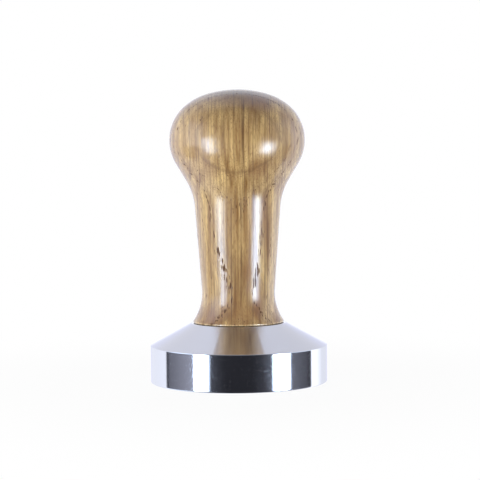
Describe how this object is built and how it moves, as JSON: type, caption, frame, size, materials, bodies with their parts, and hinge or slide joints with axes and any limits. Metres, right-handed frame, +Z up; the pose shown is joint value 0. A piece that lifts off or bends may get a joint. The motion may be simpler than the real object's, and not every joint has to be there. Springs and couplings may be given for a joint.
{
  "type": "espresso tamper",
  "caption": "Hand tamper: a turned steel piston with a cone shoulder, carrying a turned wooden ball-top handle that unscrews from it.",
  "frame": {"origin": "centre of the flat tamping face, which the tamper stands on", "axes": "+Z up along the turning axis, out of the base and through the handle"},
  "size_m": [0.058, 0.058, 0.0955],
  "materials": {
    "stainless_steel": "turned on a lathe: polished wall, satin cone, fine concentric marks on the face",
    "screw_steel": "plain rolled screw steel",
    "nylon": "natural white moulded nylon",
    "brass": "machined brass, knurled barrel",
    "lacquered_wood": "turned open-pored hardwood with flat-sawn figure under clear gloss lacquer"
  },
  "bodies": {
    "base": {"base": "stainless_steel", "stud": "screw_steel"},
    "washer": {"seat_washer": "nylon"},
    "handle": {"handle": "lacquered_wood", "insert": "brass"}
  },
  "joints": [
    {"name": "washer_rise", "type": "slide", "parent": "base", "child": "washer", "axis": [0, 0, 1], "range_m": [0, 0.0125]},
    {"name": "handle_turn", "type": "hinge", "parent": "washer", "child": "handle", "pos_m": [0, 0, 0.0193], "axis": [0, 0, 1], "range_deg": [0, 3600]}
  ],
  "couplings": [
    {"joint": "washer_rise", "follows": "handle_turn", "m_per_rad": 0.00019894}
  ]
}
